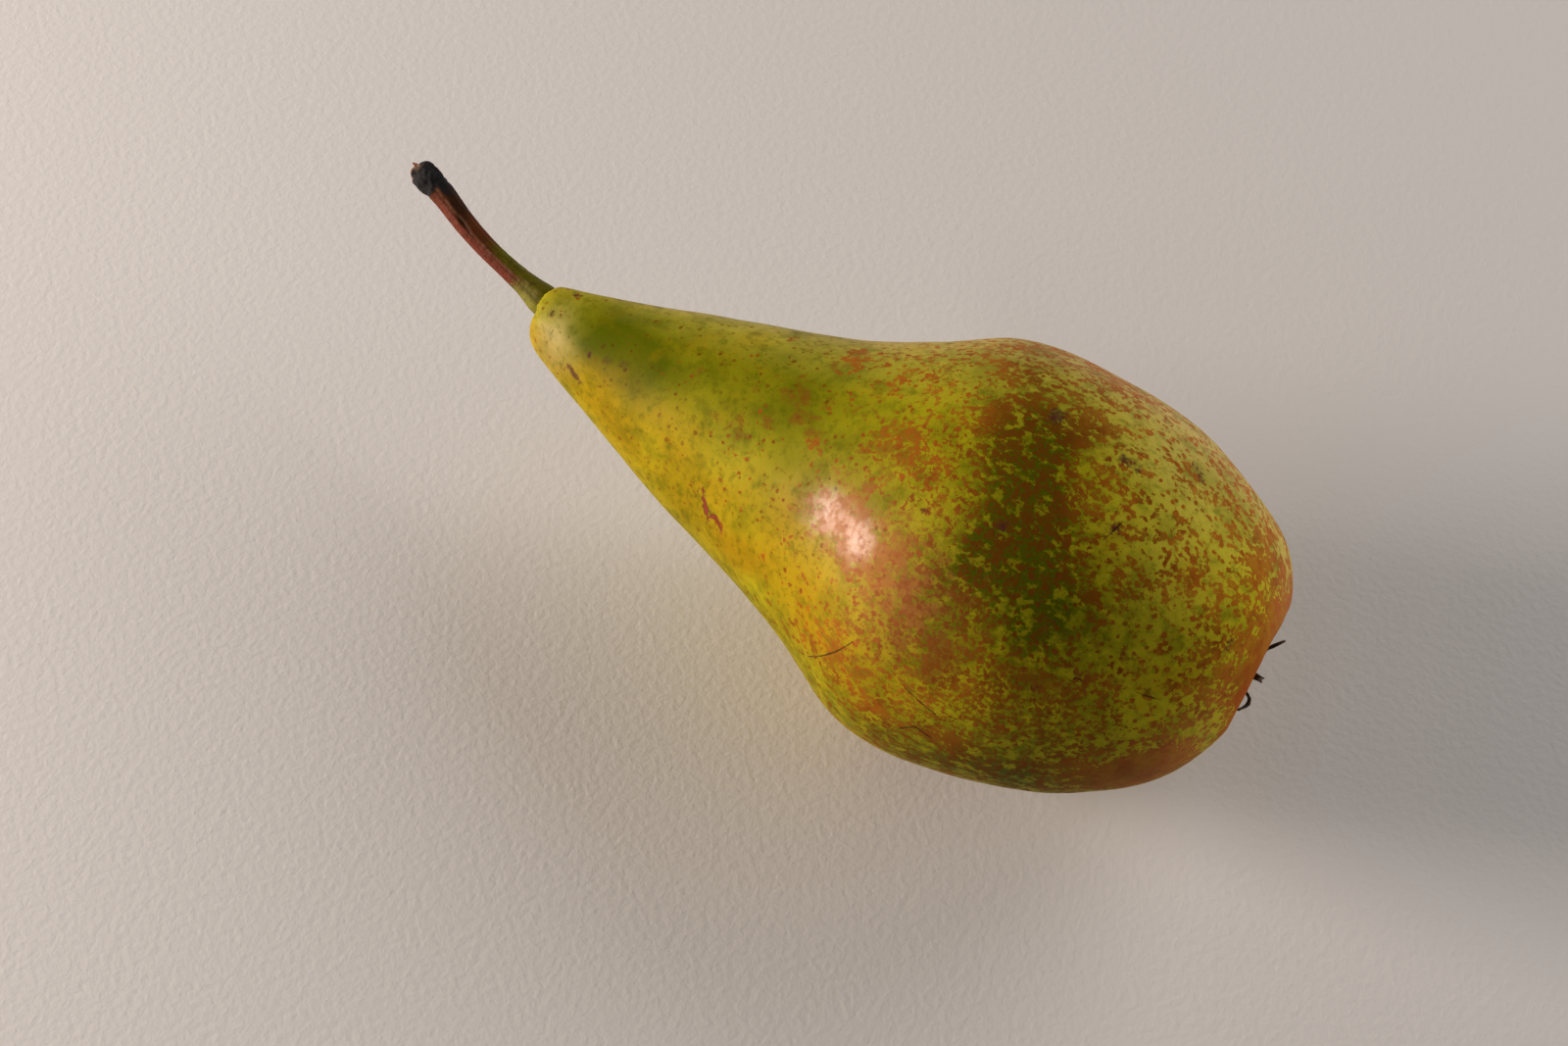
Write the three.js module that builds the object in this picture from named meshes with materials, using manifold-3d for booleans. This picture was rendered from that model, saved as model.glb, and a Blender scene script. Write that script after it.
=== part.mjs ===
// A long-necked pear with its stem, lying on its side on a small flat spot.
//
// Units are millimetres and +Z is up. The axis of the pear lies along X: the calyx end
// faces +X, and the neck and the stem point to -X. The origin is on the surface that the
// pear lies on, under the middle of its bounding box.
//
// Each piece is first built round its own axis. A place on it is given by three numbers:
// "along" is the distance from the calyx rim toward the stem, "out" the distance from the
// axis, and "lean" how far the middle of the section has moved off the straight axis, in
// the one direction that the neck and the stem lean to.

import * as THREE from 'three';
import { mergeVertices } from 'three/addons/utils/BufferGeometryUtils.js';
import Module from 'manifold-3d';

const wasm = await Module();
wasm.setup();

// ---------------------------------------------------------------- driving dimensions

const FRUIT_LENGTH = 120; // calyx rim to the end of the neck
const BELLY_RADIUS = 32; // radius at the widest part
const LEAN_ANGLE = THREE.MathUtils.degToRad(30); // the lean direction, from +Y up to +Z
const FLAT_DEPTH = 0.85; // how far the flat spot is pressed into the belly
const CLEARANCE = 0.3; // gap between one piece and the next
const SMALLEST_DETAIL = 0.01; // vertices closer than this are one

// The fruit from the bottom of the calyx basin to the end of the neck:
// along / FRUIT_LENGTH, out / BELLY_RADIUS, lean.
const FRUIT_STATIONS = [
  [0.028, 0.0, 0.4],
  [0.0272, 0.085, 0.4],
  [0.0165, 0.185, 0.7],
  [0.0045, 0.27, 1.0],
  [0.0115, 0.392, 1.2],
  [0.044, 0.586, 0.6],
  [0.1, 0.744, -0.25],
  [0.2, 0.918, -0.5],
  [0.335, 1.0, -1.4],
  [0.428, 0.96, -1.9],
  [0.51, 0.81, -1.5],
  [0.61, 0.64, -1.5],
  [0.742, 0.475, -0.9],
  [0.867, 0.3125, 0.2],
  [0.94, 0.216, 0.8],
  [0.984, 0.147, 1.4],
  [1.002, 0.0, 1.7],
];
const FRUIT_SIDES = 56;
const RINGS_PER_STATION = 3;

// Five faint lobes run from the calyx rim and fade out on the belly.
const LOBE_COUNT = 5;
const LOBE_SWELL = 0.025; // share of the radius
const LOBE_FADE = 16;

// A fleshy lip stands up beside the stem, on the side that the stem leans to.
const LIP_START = 0.9; // share of the length
const LIP_HEIGHT = 1.1;
const LIP_OUT = 4.2;
const LIP_SPREAD = 1.9;

// The stem, from its root in the flesh to the torn tip: along, lean, radius.
const STEM_STATIONS = [
  [115.4, 2.4, 1.6],
  [118.4, 3.0, 1.9],
  [121.5, 3.9, 1.8],
  [126.0, 5.1, 1.6],
  [131.0, 6.6, 1.6],
  [136.6, 8.8, 1.7],
  [141.2, 11.1, 1.9],
  [144.4, 12.3, 2.1],
  [146.6, 12.8, 1.95],
];
const STEM_SIDES = 16;
const STEM_RINGS = 24;

// The cup of the calyx, from its hollow over the edge and round its underside: out, along.
const CUP_PROFILE = [
  [0.0, 2.8],
  [1.6, 2.5],
  [2.4, 1.5],
  [3.0, 1.4],
  [3.4, 1.9],
  [3.4, 3.6],
  [2.9, 4.2],
  [0.0, 4.2],
];
const CUP_SIDES = 20;
const CUP_LEAN = 0.4;

// The sepals, every fifth of a turn from the lean direction. Each one stands up from the
// cup, passes the rim of the basin by its rise and bends outward to its reach.
const SEPAL_FIRST_ANGLE = THREE.MathUtils.degToRad(18);
const SEPALS = [
  { rise: 0.8, reach: 6.4, droop: 0.2 },
  { rise: 0.9, reach: 4.8, droop: 0.5 },
  { rise: 0.7, reach: 6.2, droop: 1.3 },
  { rise: 0.3, reach: 5.6, droop: 0.8 },
  { rise: 0.2, reach: 6.0, droop: 0.5 },
];
const SEPAL_ROOT_OUT = 2.9;
const SEPAL_ROOT_ALONG = 2.7;
const SEPAL_WIDTH = 2.7;
const SEPAL_TIP_WIDTH = 0.7;
const SEPAL_THICKNESS = 0.7;
const SEPAL_BULGE = 1.4; // height of the curve's handles, as a share of the rise
const SEPAL_STEPS = 8;

// ---------------------------------------------------------------- directions

const AXIS = new THREE.Vector3(-1, 0, 0); // calyx to stem
const LEAN = new THREE.Vector3(0, Math.cos(LEAN_ANGLE), Math.sin(LEAN_ANGLE));
const SIDE = new THREE.Vector3().crossVectors(LEAN, AXIS); // up, square to both

// The point that lies these distances along the axis, off it in the lean direction and off
// it sideways.
function at(along, lean, side = 0) {
  return new THREE.Vector3()
    .addScaledVector(AXIS, along)
    .addScaledVector(LEAN, lean)
    .addScaledVector(SIDE, side);
}

// ---------------------------------------------------------------- closed solids

// Merges the vertices of a geometry that lie together, and drops the triangles that
// collapse then: at the ends of a lathe profile, and in the slivers along a cut.
function weld(geometry) {
  const merged = mergeVertices(geometry, SMALLEST_DETAIL);
  const corners = merged.index.array;
  const kept = [];
  for (let i = 0; i < corners.length; i += 3) {
    const [a, b, c] = corners.slice(i, i + 3);
    if (a !== b && b !== c && c !== a) {
      kept.push(a, b, c);
    }
  }
  return merged.setIndex(kept);
}

function toSolid(geometry) {
  geometry.deleteAttribute('normal');
  geometry.deleteAttribute('uv');
  const welded = weld(geometry);
  return new wasm.Manifold(new wasm.Mesh({
    numProp: 3,
    vertProperties: welded.attributes.position.array,
    triVerts: new Uint32Array(welded.index.array),
  }));
}

function toGeometry(solid) {
  const { vertProperties, triVerts } = solid.getMesh();
  const geometry = new THREE.BufferGeometry();
  geometry.setAttribute('position', new THREE.BufferAttribute(vertProperties, 3));
  geometry.setIndex(new THREE.BufferAttribute(triVerts, 1));
  const welded = weld(geometry);
  welded.computeVertexNormals();
  return welded;
}

// Moves every vertex of a geometry to the point that place(vertex, number) gives for it.
function reshape(geometry, place) {
  const position = geometry.attributes.position;
  const vertex = new THREE.Vector3();
  for (let i = 0; i < position.count; i += 1) {
    vertex.fromBufferAttribute(position, i);
    const target = place(vertex, i);
    position.setXYZ(i, target.x, target.y, target.z);
  }
  return geometry;
}

// ---------------------------------------------------------------- stem

// The stem as a solid. With "extra" it is that much thicker and deeper: the socket for it.
function stemSolid(extra = 0) {
  const stations = STEM_STATIONS.map((station) => new THREE.Vector3(...station));
  const curve = new THREE.CatmullRomCurve3(stations, false, 'centripetal');
  const geometry = new THREE.CylinderGeometry(1, 1, 1, STEM_SIDES, STEM_RINGS);
  return toSolid(reshape(geometry, (vertex) => {
    const t = vertex.y + 0.5;
    const middle = curve.getPoint(t);
    const slope = curve.getTangent(t);
    const forward = at(slope.x, slope.y).normalize();
    const across = new THREE.Vector3().crossVectors(forward, SIDE);
    const radius = middle.z + extra;
    const deeper = t === 0 ? extra : 0;
    return at(middle.x, middle.y, vertex.z * radius)
      .addScaledVector(across, vertex.x * radius)
      .addScaledVector(forward, -deeper);
  }));
}

// ---------------------------------------------------------------- calyx

function cupSolid() {
  const profile = CUP_PROFILE.map(([out, along]) => new THREE.Vector2(out, along));
  const geometry = new THREE.LatheGeometry(profile, CUP_SIDES);
  return toSolid(reshape(geometry, (vertex) => at(vertex.y, CUP_LEAN + vertex.x, vertex.z)));
}

// One sepal. Its middle line is a curve of (out, along) in the plane that is turned from
// the lean direction by "turn".
function sepalSolid({ rise, reach, droop }, turn) {
  const outward = at(0, Math.cos(turn), Math.sin(turn));
  const across = at(0, -Math.sin(turn), Math.cos(turn));
  const bend = new THREE.CubicBezierCurve(
    new THREE.Vector2(SEPAL_ROOT_OUT, SEPAL_ROOT_ALONG),
    new THREE.Vector2(SEPAL_ROOT_OUT, -rise * SEPAL_BULGE),
    new THREE.Vector2((SEPAL_ROOT_OUT + reach) / 2, -rise * SEPAL_BULGE),
    new THREE.Vector2(reach, droop - rise),
  );
  const geometry = new THREE.BoxGeometry(1, 1, 1, 2, 1, SEPAL_STEPS);
  return toSolid(reshape(geometry, (vertex) => {
    const t = vertex.z + 0.5;
    const middle = bend.getPoint(t);
    const slope = bend.getTangent(t);
    const forward = at(slope.y, 0).addScaledVector(outward, slope.x);
    const through = new THREE.Vector3().crossVectors(forward, across);
    const width = THREE.MathUtils.lerp(SEPAL_WIDTH, SEPAL_TIP_WIDTH, t * t);
    return at(middle.y, CUP_LEAN)
      .addScaledVector(outward, middle.x)
      .addScaledVector(across, vertex.x * width)
      .addScaledVector(through, vertex.y * SEPAL_THICKNESS);
  }));
}

function calyxSolid() {
  return SEPALS.reduce((calyx, sepal, number) => {
    const turn = SEPAL_FIRST_ANGLE + (number * 2 * Math.PI) / SEPALS.length;
    return calyx.add(sepalSolid(sepal, turn));
  }, cupSolid());
}

// The space in the bottom of the basin that the cup sits in.
function calyxSeat() {
  const radius = Math.max(...CUP_PROFILE.map(([out]) => out)) + CLEARANCE;
  const depth = Math.max(...CUP_PROFILE.map(([, along]) => along)) + CLEARANCE;
  const geometry = new THREE.CylinderGeometry(radius, radius, depth, CUP_SIDES);
  return toSolid(reshape(geometry, (vertex) =>
    at(vertex.y + depth / 2, CUP_LEAN + vertex.x, vertex.z)));
}

// ---------------------------------------------------------------- fruit

// How much the lobes swell the section, as a share of its radius.
function lobes(along, turn) {
  const fade = Math.exp(-((along / LOBE_FADE) ** 2));
  return LOBE_SWELL * fade * Math.cos(LOBE_COUNT * turn);
}

// How far the lip beside the stem pushes the skin on along the axis.
function lip(along, out, turn) {
  if (along < LIP_START * FRUIT_LENGTH) {
    return 0;
  }
  const ridge = Math.exp(-(((out - LIP_OUT) / LIP_SPREAD) ** 2));
  return LIP_HEIGHT * ridge * Math.max(Math.cos(turn), 0) ** 2;
}

function fruitBody() {
  const stations = FRUIT_STATIONS.map(([along, out, lean]) =>
    new THREE.Vector3(out * BELLY_RADIUS, along * FRUIT_LENGTH, lean));
  const curve = new THREE.CatmullRomCurve3(stations, false, 'centripetal');
  const rings = curve.getPoints(RINGS_PER_STATION * (stations.length - 1));
  const profile = rings.map((ring) => new THREE.Vector2(ring.x, ring.y));
  const geometry = new THREE.LatheGeometry(profile, FRUIT_SIDES);
  return toSolid(reshape(geometry, (vertex, number) => {
    const ring = rings[number % rings.length];
    const turn = Math.atan2(vertex.z, vertex.x);
    const out = ring.x * (1 + lobes(ring.y, turn));
    return at(
      ring.y + lip(ring.y, out, turn),
      ring.z + out * Math.cos(turn),
      out * Math.sin(turn),
    );
  }));
}

// Everything below the flat spot.
function ground(body) {
  const { min } = body.boundingBox();
  const size = 2 * FRUIT_LENGTH;
  const geometry = new THREE.BoxGeometry(2 * size, size, size);
  geometry.translate(0, 0, min[2] + FLAT_DEPTH - size / 2);
  return toSolid(geometry);
}

function fruitSolid() {
  const body = fruitBody();
  return body
    .subtract(ground(body))
    .subtract(stemSolid(CLEARANCE))
    .subtract(calyxSeat());
}

// ---------------------------------------------------------------- the pear

function piece(name, solid, color, roughness) {
  const material = new THREE.MeshStandardMaterial({ color, roughness, metalness: 0 });
  const mesh = new THREE.Mesh(toGeometry(solid), material);
  mesh.name = name;
  return mesh;
}

// The pieces hang in one inner group, which is moved so that the middle of the footprint of
// their box is the origin.
const pieces = new THREE.Group();
pieces.add(
  piece('fruit', fruitSolid(), 0xb8963f, 0.5),
  piece('stem', stemSolid(), 0x4c3a25, 0.7),
  piece('calyx', calyxSolid(), 0x2e2219, 0.9),
);
const box = new THREE.Box3().setFromObject(pieces);
const middle = box.getCenter(new THREE.Vector3());
pieces.position.set(-middle.x, -middle.y, -box.min.z);

const pear = new THREE.Group();
pear.add(pieces);

export default pear;
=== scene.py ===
# %% [markdown]
# # A long-necked pear
#
# This lesson dresses a pear that is already built as three plain solids: the fruit, the
# stem and the calyx. The solids give the size and the place of everything. The lesson
# models a finer skin, stem and calyx in the same place, and gives each its finish.

# %% Load the frame
import math

import bpy
import numpy as np
from mathutils import Matrix, Vector, noise


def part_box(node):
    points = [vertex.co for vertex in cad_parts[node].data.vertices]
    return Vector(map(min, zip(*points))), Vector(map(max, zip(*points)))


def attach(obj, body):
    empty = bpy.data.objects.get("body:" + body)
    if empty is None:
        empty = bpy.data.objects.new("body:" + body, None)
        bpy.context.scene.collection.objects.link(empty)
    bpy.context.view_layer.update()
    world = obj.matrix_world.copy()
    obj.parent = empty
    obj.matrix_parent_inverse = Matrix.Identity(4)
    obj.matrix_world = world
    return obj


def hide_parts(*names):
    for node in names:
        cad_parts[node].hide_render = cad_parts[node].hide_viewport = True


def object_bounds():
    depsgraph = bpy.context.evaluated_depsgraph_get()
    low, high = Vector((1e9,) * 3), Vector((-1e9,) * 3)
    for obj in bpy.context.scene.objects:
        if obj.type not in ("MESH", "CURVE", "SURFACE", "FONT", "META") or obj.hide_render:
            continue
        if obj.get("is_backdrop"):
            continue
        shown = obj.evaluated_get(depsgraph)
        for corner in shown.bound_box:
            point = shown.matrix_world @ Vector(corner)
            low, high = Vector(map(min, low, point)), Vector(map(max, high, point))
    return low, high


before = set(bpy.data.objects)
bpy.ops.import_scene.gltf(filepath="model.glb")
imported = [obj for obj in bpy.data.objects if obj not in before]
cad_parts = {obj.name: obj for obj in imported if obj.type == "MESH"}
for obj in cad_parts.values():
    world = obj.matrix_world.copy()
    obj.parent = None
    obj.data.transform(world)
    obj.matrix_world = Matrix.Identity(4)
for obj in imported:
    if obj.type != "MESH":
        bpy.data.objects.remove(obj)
solid_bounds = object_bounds()

MM = 0.001
fruit_low, fruit_high = (Vector(corner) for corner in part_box("fruit"))
print("nodes", sorted(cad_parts), "fruit size", fruit_high - fruit_low)

# %% [markdown]
# ## How the pear is measured
#
# Every place on the pear is given by three numbers: how far along it lies from the rim at
# the calyx toward the stem, how far out from the middle line, and how far that middle line
# leans to one side. All pieces are modelled with the calyx at zero, the stem toward -X and
# the lean toward +Y. Turning them about X by the lean angle and moving them by one and the
# same step then puts them exactly where the solids are.

# %% Driving sizes, from the solid fruit
BELLY_RADIUS = (fruit_high.y - fruit_low.y) / 2
SLENDERNESS = 3.75  # the length for each unit of belly radius
FRUIT_LENGTH = SLENDERNESS * BELLY_RADIUS
LEAN_ANGLE = math.radians(30)

# The skin from the bottom of the basin to the end of the neck:
# along / FRUIT_LENGTH, out / BELLY_RADIUS, lean in millimetres.
FRUIT_STATIONS = [
    (0.028, 0.0, 0.4),
    (0.0272, 0.085, 0.4),
    (0.0165, 0.185, 0.7),
    (0.0045, 0.27, 1.0),
    (0.0115, 0.392, 1.2),
    (0.044, 0.586, 0.6),
    (0.1, 0.744, -0.25),
    (0.2, 0.918, -0.5),
    (0.335, 1.0, -1.4),
    (0.428, 0.96, -1.9),
    (0.51, 0.81, -1.5),
    (0.61, 0.64, -1.5),
    (0.742, 0.475, -0.9),
    (0.867, 0.3125, 0.2),
    (0.94, 0.216, 0.8),
    (0.984, 0.147, 1.4),
    (1.002, 0.0, 1.7),
]

fruit_stations = [
    (along * FRUIT_LENGTH, out * BELLY_RADIUS, lean * MM) for along, out, lean in FRUIT_STATIONS
]
print("fruit", FRUIT_LENGTH / MM, "mm long, belly radius", BELLY_RADIUS / MM, "mm")

# %% [markdown]
# Straight lines between so few stations would show as corners. A smooth path passes
# through every station instead. Of the Catmull-Rom paths the centripetal kind is taken,
# which makes no loop or bulge where the stations are unevenly far apart.

# %% A smooth path through the stations
RINGS_PER_STATION = 3


def smooth_path(points, steps):
    """A centripetal Catmull-Rom path through the points, with so many steps between two."""
    points = [Vector(point) for point in points]
    ends = [2 * points[0] - points[1], 2 * points[-1] - points[-2]]
    padded = [ends[0], *points, ends[1]]
    path = []
    for before, start, end, after in zip(padded, padded[1:], padded[2:], padded[3:]):
        first = (start - before).length ** 0.5
        middle = (end - start).length ** 0.5
        last = (after - end).length ** 0.5
        leave = (start - before) / first - (end - before) / (first + middle)
        leave = (leave + (end - start) / middle) * middle
        arrive = (end - start) / middle - (after - start) / (middle + last)
        arrive = (arrive + (after - end) / last) * middle
        for step in range(steps):
            t = step / steps
            path.append(
                start * (2 * t**3 - 3 * t**2 + 1)
                + leave * (t**3 - 2 * t**2 + t)
                + end * (3 * t**2 - 2 * t**3)
                + arrive * (t**3 - t**2)
            )
    return path + [points[-1]]


fruit_rings = smooth_path(fruit_stations, RINGS_PER_STATION)
print("fruit", len(fruit_rings), "rings, widest", max(ring.y for ring in fruit_rings))

# %% [markdown]
# ## Working by hand, in code
#
# All three pieces are round across, so they share one way of working. A ring is added,
# then extruded, moved and scaled again and again, as a hand does in edit mode, until it
# closes in a point. A lathe is quicker, but it can't follow a middle line that bends.

# %% A helper for the first ring


def select_only(piece):
    bpy.ops.object.select_all(action="DESELECT")
    piece.select_set(True)
    bpy.context.view_layer.objects.active = piece


def new_ring(name, centre, radius, sides):
    """A new piece that starts as one disc across the X axis. Its rim is left selected."""
    bpy.ops.object.select_all(action="DESELECT")
    bpy.ops.mesh.primitive_circle_add(
        vertices=sides, radius=radius, fill_type="TRIFAN", location=centre,
        rotation=(0, math.radians(90), 0),
    )
    piece = bpy.context.active_object
    piece.name = name
    bpy.ops.object.transform_apply(location=True, rotation=True, scale=True)
    bpy.ops.object.mode_set(mode="EDIT")
    bpy.ops.mesh.select_mode(type="VERT")
    bpy.ops.mesh.select_all(action="DESELECT")
    bpy.ops.object.mode_set(mode="OBJECT")
    for vertex in piece.data.vertices:
        vertex.select = (vertex.co - centre).length > radius / 2
    bpy.ops.object.mode_set(mode="EDIT")
    return piece


# %% [markdown]
# Each new ring is one extrusion, scaled and turned about its own centre. The centre is
# given every time, because a script has no window whose pivot could be set. A turn goes
# the other way round for the same reason, which its minus sign puts right.

# %% Helpers that extrude ring by ring


def extrude_ring(step, growth, centre, turn):
    """Extrudes the selected ring by a step, then scales and turns it about its new centre."""
    bpy.ops.mesh.extrude_region_move(TRANSFORM_OT_translate={"value": step})
    bpy.ops.transform.resize(value=(growth,) * 3, center_override=centre)
    if turn:
        bpy.ops.transform.rotate(value=-turn, orient_axis="Z", center_override=centre)


def close_ring(tip):
    """Draws the selected ring together in one point."""
    bpy.ops.mesh.extrude_region_move()
    bpy.ops.mesh.merge(type="CENTER")
    bpy.ops.object.mode_set(mode="OBJECT")
    mesh = bpy.context.active_object.data
    next(vertex for vertex in mesh.vertices if vertex.select).co = tip


def face_outwards(piece):
    """Merges doubled points and turns every face outwards."""
    select_only(piece)
    bpy.ops.object.mode_set(mode="EDIT")
    bpy.ops.mesh.select_all(action="SELECT")
    bpy.ops.mesh.remove_doubles(threshold=0.002 * MM)
    bpy.ops.mesh.normals_make_consistent(inside=False)
    bpy.ops.object.mode_set(mode="OBJECT")


def extrude_rings(name, centres, radii, sides, tip, slopes=None):
    """A closed piece with a ring at each centre, square to the slope there, up to its tip."""
    slopes = slopes or [0.0] * len(centres)
    piece = new_ring(name, centres[0], radii[0], sides)
    for here in range(1, len(centres)):
        step = centres[here] - centres[here - 1]
        turn = slopes[here - 1] - slopes[here]
        extrude_ring(step, radii[here] / radii[here - 1], centres[here], turn)
    close_ring(tip)
    face_outwards(piece)
    return piece


# %% [markdown]
# An extruded form is then worked like clay. A subdivision modifier rounds it, a displace
# modifier adds fine lumps, and each is applied at once. Larger forms are pushed into the
# points themselves: they are read into one array, moved there and written back. The same
# arrays can be painted on the points, as numbers that the materials read later.

# %% Helpers that shape and paint points


def apply_modifier(piece, kind, **settings):
    select_only(piece)
    bpy.ops.object.modifier_add(type=kind)
    modifier = piece.modifiers[-1]
    for name, value in settings.items():
        setattr(modifier, name, value)
    bpy.ops.object.modifier_apply(modifier=modifier.name)


def subdivide(piece, levels):
    apply_modifier(piece, "SUBSURF", levels=levels, render_levels=levels)


def add_lumps(piece, size, height, depth=2):
    """Lumps of one size and height, from a procedural cloud texture."""
    clouds = bpy.data.textures.new(f"{piece.name}_lumps", type="CLOUDS")
    clouds.noise_scale = size
    clouds.noise_depth = depth
    apply_modifier(
        piece, "DISPLACE", texture=clouds, texture_coords="LOCAL", strength=height, mid_level=0.5
    )


def read_points(piece):
    points = np.empty(len(piece.data.vertices) * 3)
    piece.data.vertices.foreach_get("co", points)
    return points.reshape(-1, 3)


def write_points(piece, points):
    piece.data.vertices.foreach_set("co", points.ravel())
    piece.data.update()


def paint(piece, name, values):
    """Keeps one number for each point of the mesh, for the materials to read."""
    layer = piece.data.attributes.new(name, "FLOAT", "POINT")
    layer.data.foreach_set("value", np.asarray(values, dtype=np.float32))
    print("painted", name, "from", values.min().round(2), "to", values.max().round(2))


def fade(values, start, end):
    """Zero at the start, one at the end, and smooth in between."""
    t = np.clip((values - start) / (end - start), 0, 1)
    return t * t * (3 - 2 * t)


def hump(values, middle, spread):
    """One at the middle, and less and less on both sides of it."""
    return np.exp(-(((values - middle) / spread) ** 2))


def band(values, start, full, fall, end):
    """Zero outside start and end, one from full to fall, and smooth in between."""
    return fade(values, start, full) * (1 - fade(values, fall, end))


def waves(turns, kinds):
    """A sum of waves around a piece: how many of each kind, how far shifted and how high."""
    return sum(height * np.cos(count * turns + shift) for count, shift, height in kinds)


# %% [markdown]
# ## The fruit
#
# A pear is round across and has one flowing outline from the basin at the calyx to the end
# of the neck. That outline was given above as stations, few and far apart, with a smooth
# path through them. Each ring is moved to its place on the path and scaled to its radius.

# %% Extrude the fruit ring by ring
FRUIT_SIDES = 80


def ring_centre(ring):
    return Vector((-ring.x, ring.z, 0))


*rings, tip = fruit_rings[1:]
centres = [ring_centre(ring) for ring in rings]
skin = extrude_rings("skin", centres, [ring.y for ring in rings], FRUIT_SIDES, ring_centre(tip))
print("fruit", len(skin.data.polygons), "faces before subdivision")

# %% [markdown]
# The box of the solid fruit now says where the model belongs. The clean skin is turned by
# the lean angle, and the step from its box to the solid's box is kept for every other
# piece. The box's lower side doesn't count, because there the solid is pressed flat.

# %% Measure the step into the frame
LEAN_TURN = np.array(Matrix.Rotation(LEAN_ANGLE, 3, "X"))

clean = read_points(skin) @ LEAN_TURN.T
low, high = clean.min(axis=0), clean.max(axis=0)
INTO_FRAME = np.array((
    fruit_high.x - high[0],
    (fruit_high.y + fruit_low.y - high[1] - low[1]) / 2,
    fruit_high.z - high[2],
))
print("step into the frame, mm", (INTO_FRAME / MM).round(3))


def put_in_frame(piece):
    """Turns the piece to the lean direction and moves it to its place, in its mesh."""
    write_points(piece, read_points(piece) @ LEAN_TURN.T + INTO_FRAME)


# %% [markdown]
# Marks on the skin are placed by a chart of it: the length of skin from the rim of the
# basin, and the turn around the fruit. The turn is zero on the side the pear leans to,
# which lies at the back, and 90 degrees on top. The chart is worked out once on the clean
# form, before any lump is added.

# %% Chart the skin
BATCHES = 40  # the points are compared with the outline in batches, to save memory

subdivide(skin, 2)
points = read_points(skin)
outline = np.array(smooth_path(fruit_stations, 8 * RINGS_PER_STATION))
rim = int(outline[:, 0].argmin())
outline_skin = np.hypot(np.diff(outline[:, 0]), np.diff(outline[:, 1]))
outline_skin = np.concatenate([[0], np.cumsum(outline_skin)])
outline_skin -= outline_skin[rim]

nearest = np.empty(len(points), dtype=int)
for part in np.array_split(np.arange(len(points)), BATCHES):
    lean = np.interp(-points[part, 0], outline[rim:, 0], outline[rim:, 2])
    out = np.hypot(points[part, 1] - lean, points[part, 2])
    gaps = (-points[part, 0, None] - outline[:, 0]) ** 2 + (out[:, None] - outline[:, 1]) ** 2
    nearest[part] = gaps.argmin(axis=1)
chart_skin = outline_skin[nearest] / MM
chart_along = -points[:, 0]
chart_lean = outline[nearest, 2]
chart_out = np.hypot(points[:, 1] - chart_lean, points[:, 2])
chart_turn = np.arctan2(points[:, 2], points[:, 1] - chart_lean)
print("skin from rim to stem, mm", chart_skin.max().round(1))


def soft_spot(length, turn, radius_along, radius_around):
    """One at a place on the chart, and less and less round it, out to its radii in mm."""
    gap = (chart_turn - math.radians(turn) + math.pi) % (2 * math.pi) - math.pi
    along = (chart_skin - length) / radius_along
    around = gap * chart_out / MM / radius_around
    return np.exp(-(along**2 + around**2))


# %% [markdown]
# The form now gets what grew unevenly. Five faint lobes run out from the basin, and the
# flanks swell and sink a little. A fruit without them looks turned on a lathe.

# %% Swell the fruit
LOBE_COUNT = 5
LOBE_SWELL = 0.025
LOBE_FADE = 16 * MM

# Low swells and dents: skin length, turn, radius along, radius around and height in mm.
SWELLS = [
    (61, 5, 8, 10, 0.75),
    (80, 12, 8, 8, -0.4),
    (43, 5, 9, 10, -0.15),
    (18, 20, 6, 8, 0.35),
    (124, 100, 4, 4, 0.3),
    (125, 40, 4, 4, 0.25),
    (118, 140, 5, 4, -0.2),
]

swell = 1 + LOBE_SWELL * hump(chart_along, 0, LOBE_FADE) * np.cos(LOBE_COUNT * chart_turn)
points[:, 1] = chart_lean + (points[:, 1] - chart_lean) * swell
points[:, 2] *= swell
for *spot, height in SWELLS:
    rise = height * MM * soft_spot(*spot)
    points[:, 1] += rise * np.cos(chart_turn)
    points[:, 2] += rise * np.sin(chart_turn)
print("swells and dents", len(SWELLS))

# %% [markdown]
# At the stem a low lip of flesh stands up on the side that the stem leans to, with a lower
# one in front, and the skin is drawn in round the stem in a crease. Small folds run out
# from the stem and from the basin.

# %% Shape both ends
NECK_START = 0.9 * FRUIT_LENGTH
LIP_HEIGHT = 1.1 * MM
LIP_OUT = 4.2 * MM
LIP_SPREAD = 1.9 * MM
FRONT_LIP_HEIGHT = 0.6 * MM
FRONT_LIP_OUT = 4.6 * MM
FRONT_LIP_SPREAD = 1.3 * MM
FRONT_LIP_TURN = math.radians(105)
STEM_EXIT_LEAN = 3.5 * MM
STEM_EXIT_RADIUS = 2.45 * MM
CREASE_DEPTH = 1.3 * MM
CREASE_INSIDE = 0.2 * MM
CREASE_OUTSIDE = 0.8 * MM
FOLD_DEPTH = 0.1 * MM
FOLDS_OUT, FOLDS_SPREAD = 3.6 * MM, 1.6 * MM
BASIN_FOLD_DEPTH = 0.2 * MM
BASIN_FOLDS_OUT, BASIN_FOLDS_SPREAD = 5.2 * MM, 2 * MM
BASIN_END = 5 * MM

near_stem = chart_along > NECK_START
lip = hump(chart_out, LIP_OUT, LIP_SPREAD)
lip *= LIP_HEIGHT * np.maximum(np.cos(chart_turn), 0) ** 2
front_lip = hump(chart_out, FRONT_LIP_OUT, FRONT_LIP_SPREAD)
lip += FRONT_LIP_HEIGHT * front_lip * np.maximum(np.cos(chart_turn - FRONT_LIP_TURN), 0)
points[:, 0] -= np.where(near_stem, lip, 0)

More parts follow.
